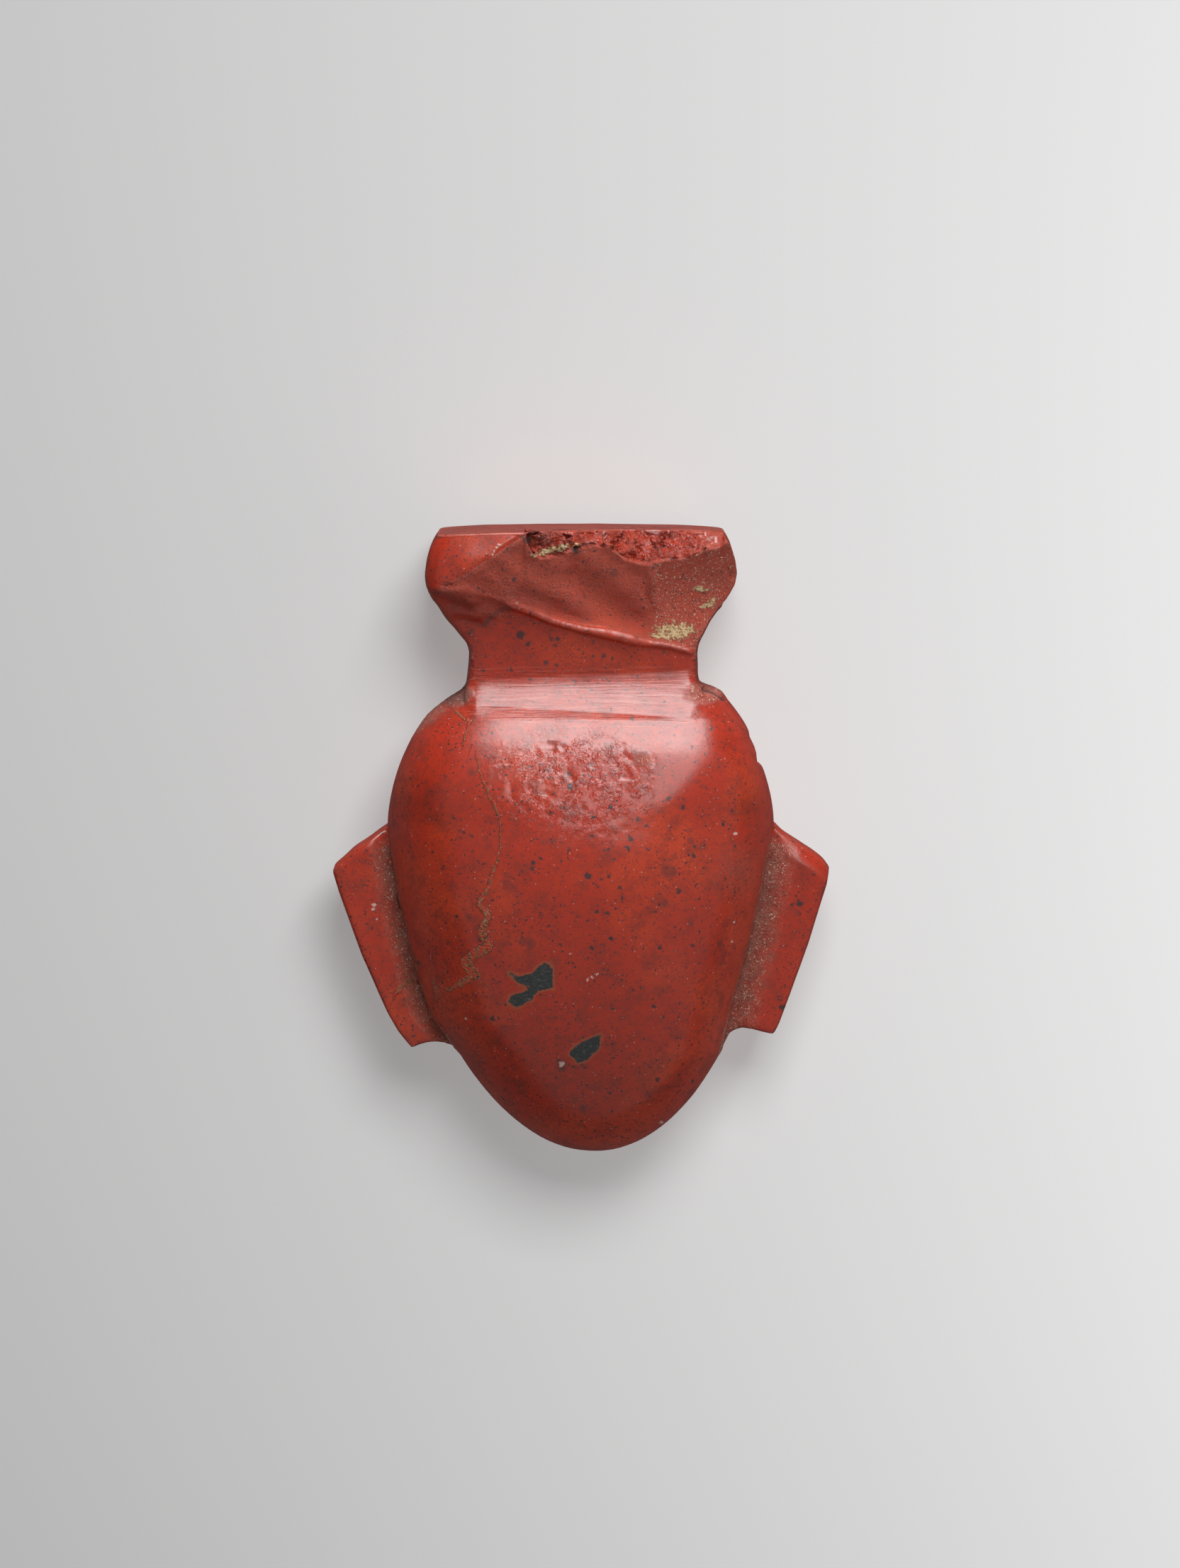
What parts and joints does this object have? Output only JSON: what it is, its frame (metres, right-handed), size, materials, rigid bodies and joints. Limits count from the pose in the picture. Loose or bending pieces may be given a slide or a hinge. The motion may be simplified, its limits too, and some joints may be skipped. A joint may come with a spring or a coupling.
{
  "type": "heart amulet",
  "caption": "Carved red stone heart amulet: an egg-shaped body with a flat lug on each side and a broad, broken rim on a narrow waist.",
  "frame": {"origin": "on the surface the amulet lies on, under the middle of its outline", "axes": "+Z out of the front, +Y from the pointed tip to the flat rim, +X to the right as seen from the front"},
  "size_m": [0.0396, 0.05, 0.019],
  "materials": {
    "red_jasper": "worn polish, dark red with fine grey specks, ochre veins and dirt in the hollows"
  },
  "bodies": {
    "root": {"heart_amulet": "red_jasper"}
  },
  "joints": []
}
